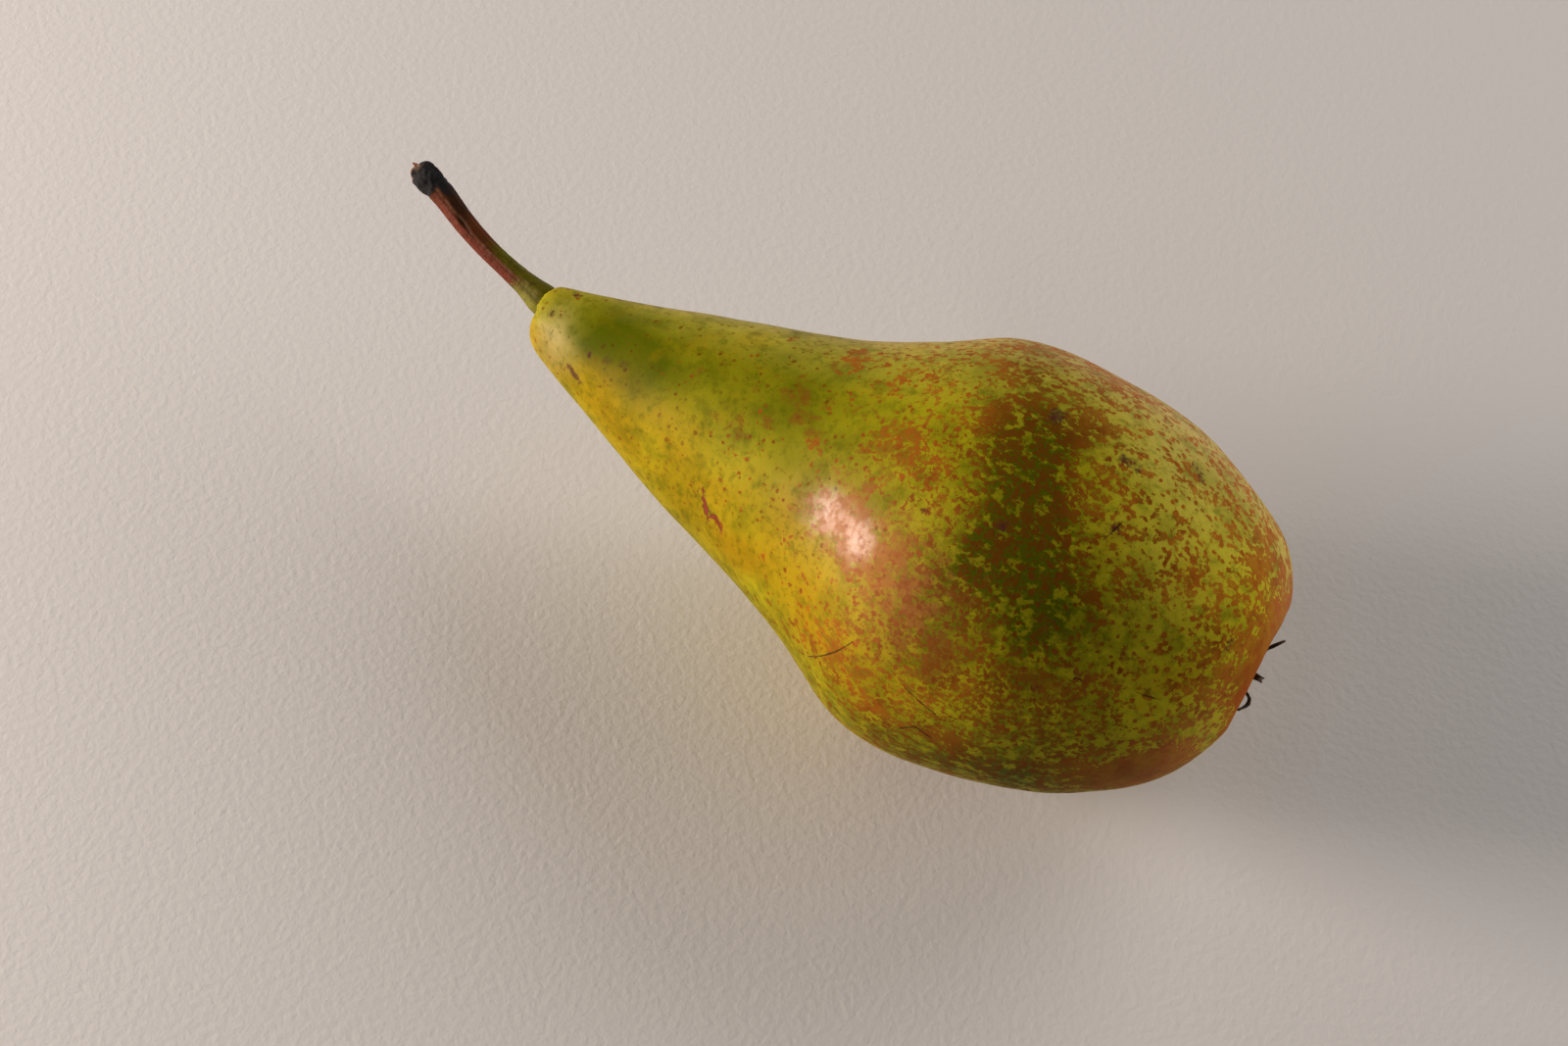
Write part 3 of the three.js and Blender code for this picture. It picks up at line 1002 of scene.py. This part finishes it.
sepals = []
for number, shape in enumerate(SEPALS):
    turn = SEPAL_FIRST_TURN + number * 2 * math.pi / len(SEPALS)
    sepals.append(grow_sepal(shape, turn))
print(len(sepals), "sepals of", len(sepals[0].data.polygons), "faces")

# %% [markdown]
# What is left of the stamens is a tuft of dry threads in the cup, each with a small head.
# A thread is one thin extrusion with few sides, and where each stands is drawn by chance
# from a fixed seed, so that every run grows the same tuft.

# %% The stamens
STAMEN_COUNT = 14
STAMEN_SEED = 7
STAMEN_RADIUS = 0.16 * MM
STAMEN_SIDES = 6
STAMEN_FOOT = -2.9
STAMEN_STEPS = (0, 0.35, 0.7, 0.88, 1)  # shares of its height
STAMEN_GIRTHS = (1.2, 1, 0.9, 1.7, 1.2)

stamen_chance = np.random.default_rng(STAMEN_SEED)


def grow_stamen():
    """A dry bent thread with a small head, which stands in the cup."""
    turn, spread = stamen_chance.uniform(0, 2 * math.pi), stamen_chance.uniform(0.2, 1.7)
    lean = stamen_chance.uniform(-0.7, 0.7, size=2)
    height = stamen_chance.uniform(1.1, 2.3)
    foot = np.array((STAMEN_FOOT, spread * math.cos(turn), spread * math.sin(turn)))
    centres = [
        Vector((foot + (height * step, *(lean * step**2))) * MM) + Vector((0, CUP_LEAN, 0))
        for step in STAMEN_STEPS
    ]
    radii = [STAMEN_RADIUS * girth for girth in STAMEN_GIRTHS]
    return extrude_rings("stamen", centres, radii, STAMEN_SIDES, centres[-1])


join(calyx, [*sepals, *(grow_stamen() for _ in range(STAMEN_COUNT))])
put_in_frame(calyx)
print("calyx", len(calyx.data.polygons), "faces")

# %% [markdown]
# ## Mixing a finish
#
# A finish is a network of nodes. It could be wired by hand in the shader editor; written
# as code it stays short with the helper below. A value may be a plain number or colour,
# the name of something painted, or what another node gives.

# %% A helper for finishes


class Finish:
    """A material under construction."""

    def __init__(self, name):
        self.material = bpy.data.materials.new(name)
        self.material.use_nodes = True
        self.tree = self.material.node_tree
        self.shader = self.tree.nodes["Principled BSDF"]

    def feed(self, sockets, values):
        """Gives each named socket its value."""
        for name, value in values.items():
            socket = sockets[name]
            if isinstance(value, str):
                value = self.add("ShaderNodeAttribute", {}, attribute_name=value).outputs["Fac"]
            if isinstance(value, bpy.types.NodeSocket):
                self.tree.links.new(value, socket)
            else:
                socket.default_value = (*value, 1.0) if socket.type == "RGBA" else value

    def add(self, kind, inputs, **settings):
        node = self.tree.nodes.new(kind)
        for name, value in settings.items():
            setattr(node, name, value)
        self.feed(node.inputs, inputs)
        return node

    def position(self):
        return self.add("ShaderNodeTexCoord", {}).outputs["Object"]

    def stretched(self, vector, scale):
        return self.add("ShaderNodeMapping", {"Vector": vector, "Scale": scale}).outputs[0]

    def jitter(self, vector, scale, amount):
        """The place, moved about a little, so that edges turn ragged."""
        moved = self.noise(vector, scale, 2.0, 0.6, "Color")
        moved = self.add("ShaderNodeVectorMath", {0: moved, 1: (0.5,) * 3}, operation="SUBTRACT")
        inputs = {0: moved.outputs[0], 1: (amount,) * 3, 2: vector}
        return self.add("ShaderNodeVectorMath", inputs, operation="MULTIPLY_ADD").outputs[0]

    def noise(self, vector, scale, detail=3.0, roughness=0.55, output="Fac"):
        inputs = {"Vector": vector, "Scale": scale, "Detail": detail, "Roughness": roughness}
        return self.add("ShaderNodeTexNoise", inputs).outputs[output]

    def math(self, operation, a, b=0.0, c=0.0):
        inputs = {0: a, 1: b, 2: c}
        return self.add("ShaderNodeMath", inputs, operation=operation).outputs[0]

    def times(self, a, b, plus=0.0):
        return self.math("MULTIPLY_ADD", a, b, plus)

    def remap(self, value, low, high, start=0.0, end=1.0, kind="SMOOTHSTEP"):
        """The value, from low to high, spread from start to end."""
        inputs = {"Value": value, "From Min": low, "From Max": high, "To Min": start, "To Max": end}
        return self.add("ShaderNodeMapRange", inputs, interpolation_type=kind).outputs[0]

    def blend(self, amount, under, over):
        """One colour over another."""
        inputs = {0: amount, 6: under, 7: over}
        return self.add("ShaderNodeMix", inputs, data_type="RGBA").outputs[2]

    def veil(self, under, over, mask, low, high, most=1.0):
        """One colour over another where a mask passes from low to high, at most so strong."""
        return self.blend(self.remap(mask, low, high, 0, most), under, over)

    def relief(self, height, depth, strength):
        inputs = {"Height": height, "Distance": depth, "Strength": strength}
        self.feed(self.shader.inputs, {"Normal": self.add("ShaderNodeBump", inputs).outputs[0]})

    def put_on(self, piece, values):
        """Gives the shader its values and the piece this finish."""
        self.feed(self.shader.inputs, values)
        piece.data.materials.clear()
        piece.data.materials.append(self.material)
        select_only(piece)
        bpy.ops.object.shade_smooth()
        print(self.material.name, "has", len(self.tree.nodes), "nodes")


# %% [markdown]
# ## The finish of the skin
#
# Russet is cork, grown where the skin once cracked. It lies in ragged patches with specks
# round them, and each pore of the skin is a small dot of it. Cells of a Voronoi texture
# give the pores: how far a point is from the middle of its cell tells whether it lies in
# the dot, and the cell's own random colour gives each dot its size and depth.

# %% The pores
PORE_SCALE = 760

finish = Finish("pear_skin")
place = finish.position()
cells = {"Vector": finish.jitter(place, 900, 0.5 * MM), "Scale": PORE_SCALE}
pores = finish.add("ShaderNodeTexVoronoi", cells)
pore_gap = pores.outputs["Distance"]
pore_luck = finish.add("ShaderNodeSeparateColor", {"Color": pores.outputs["Color"]}).outputs
pore_size = finish.remap(finish.math("POWER", pore_luck[0], 2), 0, 1, 0.16, 0.4, "LINEAR")
dots = finish.remap(pore_gap, pore_size, finish.times(pore_size, 0.55))
dots = finish.times(dots, finish.remap(pore_luck[1], 0, 1, 0.25, 1.0, "LINEAR"))
print("pores about", round(1 / PORE_SCALE / MM, 1), "mm apart")

# %% [markdown]
# The patches are a fractal noise. Where the noise and the painted amount together pass a
# limit, there is russet. The place is moved about a little before the noise reads it,
# which makes the edges angular. Painted fineness brings in smaller specks, and painted
# softness makes the step at the limit less sharp.

# %% Where the russet lies
PATCH_SCALE = 620
SPECK_SCALE = 1700
DRIFT_SCALE = 170
CONTRAST = 2.4
LIMIT = 1.66

ragged = finish.jitter(place, 1600, 0.6 * MM)
patches = finish.noise(finish.stretched(ragged, (0.75, 1, 1)), PATCH_SCALE, 5, 0.64)
specks = finish.noise(ragged, SPECK_SCALE, 2, 0.6)
drifts = finish.noise(place, DRIFT_SCALE, 3)
fine = finish.remap("fineness", 0, 1, 0.2, 0.75, "LINEAR")
field = finish.times(finish.math("SUBTRACT", specks, patches), fine, plus=patches)
field = finish.math("ADD", field, finish.remap(pore_gap, 0.5, 0.1, 0, 0.14))
field = finish.times(field, CONTRAST, plus="russet")
field = finish.times(finish.math("SUBTRACT", drifts, 0.5), 0.5, plus=field)
edge = finish.remap("softness", 0, 1, 0.03, 0.26)
rust = finish.remap(field, finish.math("SUBTRACT", LIMIT, edge), finish.math("ADD", LIMIT, edge))
print("patches about", round(1 / PATCH_SCALE / MM, 1), "mm across")

# %% [markdown]
# The skin under the russet is mixed from the painted colours. Clouds of three sizes vary
# it: large ones turn it green or gold, and finer ones add the mottle and the grain of real
# skin.

# %% The colour of the green skin
YELLOW_GREEN = (0.57, 0.485, 0.011)
DEEP_GREEN = (0.104, 0.122, 0.0008)
GOLD = (0.42, 0.25, 0.003)
# Real dark skin, and painted shade where the olive layer is painted.
DARK_OLIVE_AND_SHADE = (0.085, 0.099, 0.0006)
PINK_FLESH_AND_SHEEN = (0.56, 0.25, 0.10)
PALE_BLOOM_AND_SHEEN = (0.68, 0.54, 0.27)

clouds = finish.noise(place, 110, 3)
mottle = finish.noise(place, 270, 3, 0.6)
grain = finish.noise(place, 700, 4, 0.7)
flesh = finish.blend("green", YELLOW_GREEN, DEEP_GREEN)
flesh = finish.blend("gold", flesh, GOLD)
# Real blush, and the pink of a painted highlight and sheen.
flesh = finish.blend(finish.times("blush_and_sheen", 0.36), flesh, PINK_FLESH_AND_SHEEN)
# Painted sheen in part: a paler back edge, with a real bloom of wax.
flesh = finish.blend("bloom_and_sheen", flesh, PALE_BLOOM_AND_SHEEN)
flesh = finish.veil(flesh, DEEP_GREEN, clouds, 0.48, 0.7, 0.36)
flesh = finish.veil(flesh, GOLD, clouds, 0.47, 0.27, 0.4)
# Painted shade in part: the olive layer darkens the skin.
olive_and_shade_patches = finish.times("olive_and_shade", finish.remap(patches, 0.39, 0.53, 0.52, 1.1))
flesh = finish.blend(olive_and_shade_patches, flesh, DARK_OLIVE_AND_SHADE)
flesh = finish.veil(flesh, DARK_OLIVE_AND_SHADE, mottle, 0.5, 0.72, 0.42)
flesh = finish.veil(flesh, DARK_OLIVE_AND_SHADE, grain, 0.47, 0.7, 0.5)
print("green skin", len(finish.tree.nodes), "nodes")

# %% [markdown]
# Russet is orange brown, darker and paler in clouds, redder round the calyx and pink where
# the skin is. On green skin and in the olive it looks shaded. It goes on in three coats:
# the scarf skin first, the dots over it, and the patches last.

# %% The colour of the russet
RUST = (0.42, 0.115, 0.009)
DARK_RUST = (0.235, 0.055, 0.005)
PALE_RUST = (0.53, 0.19, 0.018)
PINK_RUST_AND_SHEEN = (0.50, 0.15, 0.055)
SHADED_RUST = (0.16, 0.050, 0.003)
RING_RUST = (0.42, 0.075, 0.006)

rust_clouds = finish.noise(place, 210, 3)
rust_grain = finish.noise(place, 1100, 2, 0.6)
rust_color = finish.veil(RUST, DARK_RUST, rust_clouds, 0.42, 0.68, 0.85)
rust_color = finish.veil(rust_color, PALE_RUST, rust_clouds, 0.4, 0.28, 0.5)
ringed = finish.times("ring", finish.remap(patches, 0.4, 0.56, 1.0, 0.7))
rust_color = finish.blend(ringed, rust_color, RING_RUST)
# Pink on the russet: real blush, and painted highlight and sheen.
rust_color = finish.blend("blush_and_sheen", rust_color, PINK_RUST_AND_SHEEN)
rust_color = finish.veil(rust_color, DARK_RUST, rust_grain, 0.45, 0.7, 0.4)
shaded = finish.times("green", 0.45, plus="olive_and_shade")
rust_color = finish.blend(shaded, rust_color, SHADED_RUST)
print("with the russet's colour", len(finish.tree.nodes), "nodes")

# %% Lay the russet on the skin
SCARF_RUST = (0.22, 0.085, 0.006)
DOT_RUST = (0.25, 0.085, 0.004)
SHADED_DOT = (0.11, 0.052, 0.0015)

scarf_grain = finish.noise(finish.stretched(ragged, (0.8, 1, 1)), 420, 5, 0.72)
# The pink of the scarf skin is partly painted highlight, under the highlight.
scarf_color = finish.blend("blush_and_sheen", SCARF_RUST, PINK_RUST_AND_SHEEN)
wisps = finish.times("scarf", 0.3, plus=scarf_grain)
color = finish.veil(flesh, scarf_color, wisps, 0.62, 0.73, 0.7)
dot_color = finish.blend(finish.times("green", 0.4, plus=shaded), DOT_RUST, SHADED_DOT)
color = finish.blend(finish.times(dots, 0.9), color, dot_color)
cover = finish.math("MAXIMUM", finish.remap(scarf_grain, 0.35, 0.6, 0.98, 0.76), "ring")
color = finish.blend(finish.times(rust, cover), color, rust_color)
print("with the russet laid on", len(finish.tree.nodes), "nodes")

# %% [markdown]
# Bruises get a ragged edge from the specks. A crack is drawn where the painted distance to
# it is less than its half width, and wanders a little, also with the specks. A healed
# scratch is the same line with a softer colour.

# %% Bruises, cracks and the healed scratch
BRUISE = (0.09, 0.024, 0.018)
CRACK = (0.05, 0.016, 0.007)
HEALED = (0.27, 0.05, 0.025)

bruised = finish.times(specks, 1.2, plus="bruise")
color = finish.veil(color, BRUISE, bruised, 0.85, 1.35, 0.85)
to_crack = finish.math("ABSOLUTE", "crack_gap")
to_crack = finish.times(finish.math("SUBTRACT", specks, 0.5), 0.35, plus=to_crack)
half = finish.times("crack_core", finish.remap(patches, 0.38, 0.58, 0.15, 1.5))
inside = finish.times(half, 0.2)
crack = finish.remap(to_crack, half, inside, 0, 0.85)
color = finish.blend(crack, color, CRACK)
scratch = finish.remap(to_crack, finish.times(half, 0.55), inside)
color = finish.blend(finish.times(scratch, "healed"), color, HEALED)
print("with the marks", len(finish.tree.nodes), "nodes")

# %% [markdown]
# The skin is satin, not glossy: its own mirror is weak and rough, and a thin coat shines
# where it was painted. Russet stands up a little and is rougher, and dots and cracks are
# sunk. All that is finer than the mesh, so it is bump.

# %% Gloss and relief of the skin
RELIEF = 0.07 * MM
SKIN_ROUGHNESS = 0.55
RUST_ROUGHER = 0.12

height = finish.times(rust, 0.25, plus=finish.noise(place, 1900, 2, 0.5))
height = finish.times(dots, -0.4, plus=height)
height = finish.times(crack, -1.5, plus=height)
finish.relief(height, RELIEF, 0.5)
finish.put_on(skin, {
    "Base Color": color,
    "Roughness": finish.times(rust, RUST_ROUGHER, plus=SKIN_ROUGHNESS),
    "Specular IOR Level": 0.045,
    "Specular Tint": (1.0, 0.80, 0.84),
    "Coat Weight": finish.times("shine", finish.remap(grain, 0.38, 0.6, 1.5, 0.45)),
    "Coat Roughness": 0.22,
    "Coat IOR": 1.45,
})
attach(skin, "root")
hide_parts("fruit")

# %% [markdown]
# ## The stem's finish
#
# The stem is green where it leaves the fruit, brick red on its sunny side and nearly
# black at the knob. All three run into each other in streaks along the bark, so the noise
# that mixes them is stretched along the stem.

# %% Mix the stem's finish
BARK_BROWN = (0.115, 0.030, 0.008)
BARK_TAN = (0.12, 0.042, 0.014)
BARK_GREEN = (0.125, 0.105, 0.005)
BARK_FRESH = (0.22, 0.20, 0.02)
BARK_RED = (0.16, 0.028, 0.010)
BARK_DUST_AND_LIT_EDGE = (0.30, 0.10, 0.065)
BARK_BLACK = (0.020, 0.019, 0.020)
BARK_SHADOW = (0.03, 0.013, 0.005)
TORN_WOOD = (0.42, 0.25, 0.17)

finish = Finish("stem_bark")
place = finish.position()
streaks = finish.noise(finish.stretched(place, (0.22, 1, 1)), 1500, 4, 0.65)
flecks = finish.noise(place, 900, 3, 0.6)


def streaked(under, over, name, low, high, most=1.0):
    """Lays a colour on where it is painted, with its edges drawn out in streaks."""
    return finish.veil(under, over, finish.times(streaks, 0.9, plus=name), low, high, most)


color = finish.veil(BARK_BROWN, BARK_TAN, streaks, 0.45, 0.75)
color = streaked(color, BARK_RED, "bark_red", 0.6, 1.3, 0.9)
color = streaked(color, BARK_GREEN, "bark_green", 0.6, 1.4)
color = streaked(color, BARK_FRESH, "fresh_side", 0.6, 1.4)
# Dust and a painted highlight on the lit edge.
color = streaked(color, BARK_DUST_AND_LIT_EDGE, "bark_dust_and_lit_edge", 0.75, 1.5, 0.45)
color = finish.veil(color, BARK_SHADOW, streaks, 0.52, 0.72, 0.45)
color = finish.veil(color, BARK_SHADOW, flecks, 0.58, 0.7, 0.4)
color = streaked(color, BARK_SHADOW, "bark_shade", 0.6, 1.5, 0.85)
color = streaked(color, BARK_BLACK, "bark_black", 0.75, 1.3)
color = finish.blend("bark_scar", color, BARK_SHADOW)
color = finish.blend(finish.times("torn_wood", finish.remap(flecks, 0.4, 0.6)), color, TORN_WOOD)
finish.relief(finish.times(streaks, 1.5, plus=flecks), 0.22 * MM, 0.8)
finish.put_on(stem, {
    "Base Color": color,
    "Roughness": finish.remap("bark_black", 0, 1, 0.55, 0.75),
    "Specular IOR Level": 0.14,
})
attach(stem, "root")
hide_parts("stem")

# %% [markdown]
# ## The finish of the dry calyx
#
# Dry sepals are dark brown to black, with a grey bloom of dust on their tips. One fine
# noise is enough for so small a piece: it mixes the two browns, breaks up the dust and
# gives the relief.

# %% Mix the calyx's finish
DRY_BLACK = (0.018, 0.011, 0.006)
DRY_BROWN = (0.06, 0.032, 0.014)
DUST = (0.14, 0.105, 0.08)

finish = Finish("dry_sepals")
fibres = finish.noise(finish.position(), 1500, 4, 0.65)
color = finish.veil(DRY_BLACK, DRY_BROWN, fibres, 0.4, 0.65)
color = finish.blend(finish.times("dry_tip", finish.remap(fibres, 0.35, 0.6)), color, DUST)
finish.relief(fibres, 0.25 * MM, 0.8)
finish.put_on(calyx, {"Base Color": color, "Roughness": 0.75})
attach(calyx, "root")
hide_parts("calyx")

# %% [markdown]
# ## Camera, floor and light
#
# The camera looks down on the pear from the front and a little from the right, and is
# rolled so that the pear lies aslant in the view. It aims close to the middle of the
# pear.

# %% Camera
CAMERA_DISTANCE = 0.38427
CAMERA_AZIMUTH = math.radians(22.98)
CAMERA_ELEVATION = math.radians(63)
CAMERA_ROLL = math.radians(5.89)
CAMERA_LENS = 60
CAMERA_NEAR = 0.01
AIM = Vector((0.00169, -0.00901, 0.02942))

bpy.ops.object.select_all(action="DESELECT")
bpy.ops.object.camera_add()
camera = bpy.context.active_object
turn = Matrix.Rotation(CAMERA_AZIMUTH, 3, "Z") @ Matrix.Rotation(math.pi / 2 - CAMERA_ELEVATION, 3, "X")
turn = turn @ Matrix.Rotation(CAMERA_ROLL, 3, "Z")
camera.rotation_euler = turn.to_euler()
camera.location = AIM + turn @ Vector((0, 0, CAMERA_DISTANCE))
camera.data.lens = CAMERA_LENS
camera.data.clip_start = CAMERA_NEAR
bpy.context.scene.camera = camera
print("camera at", camera.location)

# %% [markdown]
# The floor is a sheet of pale paper with a fine tooth. It is only a stage, and no part of
# the pear.

# %% Floor
PAPER = (0.81, 0.79, 0.775)

bpy.ops.object.select_all(action="DESELECT")
bpy.ops.mesh.primitive_plane_add(size=6, location=(0, 0, 0))
floor = bpy.context.active_object
floor.name = "paper_floor"
finish = Finish("paper")
tooth = finish.noise(finish.jitter(finish.position(), 500, 1 * MM), 800, 2, 0.5)
finish.relief(tooth, 0.14 * MM, 0.6)
finish.put_on(floor, {"Base Color": PAPER, "Roughness": 0.9})
floor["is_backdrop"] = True

# %% [markdown]
# Low light from a window comes in from the left. It is the one light that the skin
# mirrors. Two large and weaker lights stand for the pale walls of the room, and a faint
# grey blue world fills the shadows.

# %% Light
ROOM_COLOR = (0.9, 0.93, 1.0, 1)
ROOM_STRENGTH = 0.06

# Each light: name, the side and the height it shines from in degrees, its distance and
# size in metres, its power in watts, its colour, and whether it is mirrored.
LIGHTS = [
    ("window", 205, 14.5, 0.8, 0.28, 8.8, (1.0, 0.87, 0.77), True),
    ("room_right", 30, 13, 1.3, 0.9, 7, (1.0, 0.94, 0.88), False),
    ("room_back", 75, 32, 1.3, 0.9, 6.5, (1.0, 0.94, 0.90), False),
]


def add_area_light(name, azimuth, elevation, distance, size, power, color, mirrored):
    """A square soft light that shines at the pear."""
    azimuth, elevation = math.radians(azimuth), math.radians(elevation)
    direction = Vector((
        math.cos(elevation) * math.cos(azimuth),
        math.cos(elevation) * math.sin(azimuth),
        math.sin(elevation),
    ))
    bpy.ops.object.select_all(action="DESELECT")
    bpy.ops.object.light_add(type="AREA", location=direction * distance)
    light = bpy.context.active_object
    light.name = name
    light.rotation_euler = direction.to_track_quat("Z", "Y").to_euler()
    light.data.shape = "SQUARE"
    light.data.size = size
    light.data.energy = power
    light.data.color = color
    light.visible_glossy = mirrored


for light in LIGHTS:
    add_area_light(*light)
world = bpy.data.worlds.new("room")
bpy.context.scene.world = world
world.use_nodes = True
world.node_tree.nodes["Background"].inputs["Color"].default_value = ROOM_COLOR
world.node_tree.nodes["Background"].inputs["Strength"].default_value = ROOM_STRENGTH
bpy.context.scene.view_settings.view_transform = "Standard"
print(len(LIGHTS), "lights")

# %% [markdown]
# Last, the box of the solids and the box of the dressed pear are written side by side, to
# show that the looks haven't changed the size.

# %% Keep the sizes and finish
sizes = {"solid": solid_bounds, "dressed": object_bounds()}
sizes = {name: [[float(part) for part in corner] for corner in box] for name, box in sizes.items()}
print(sizes)
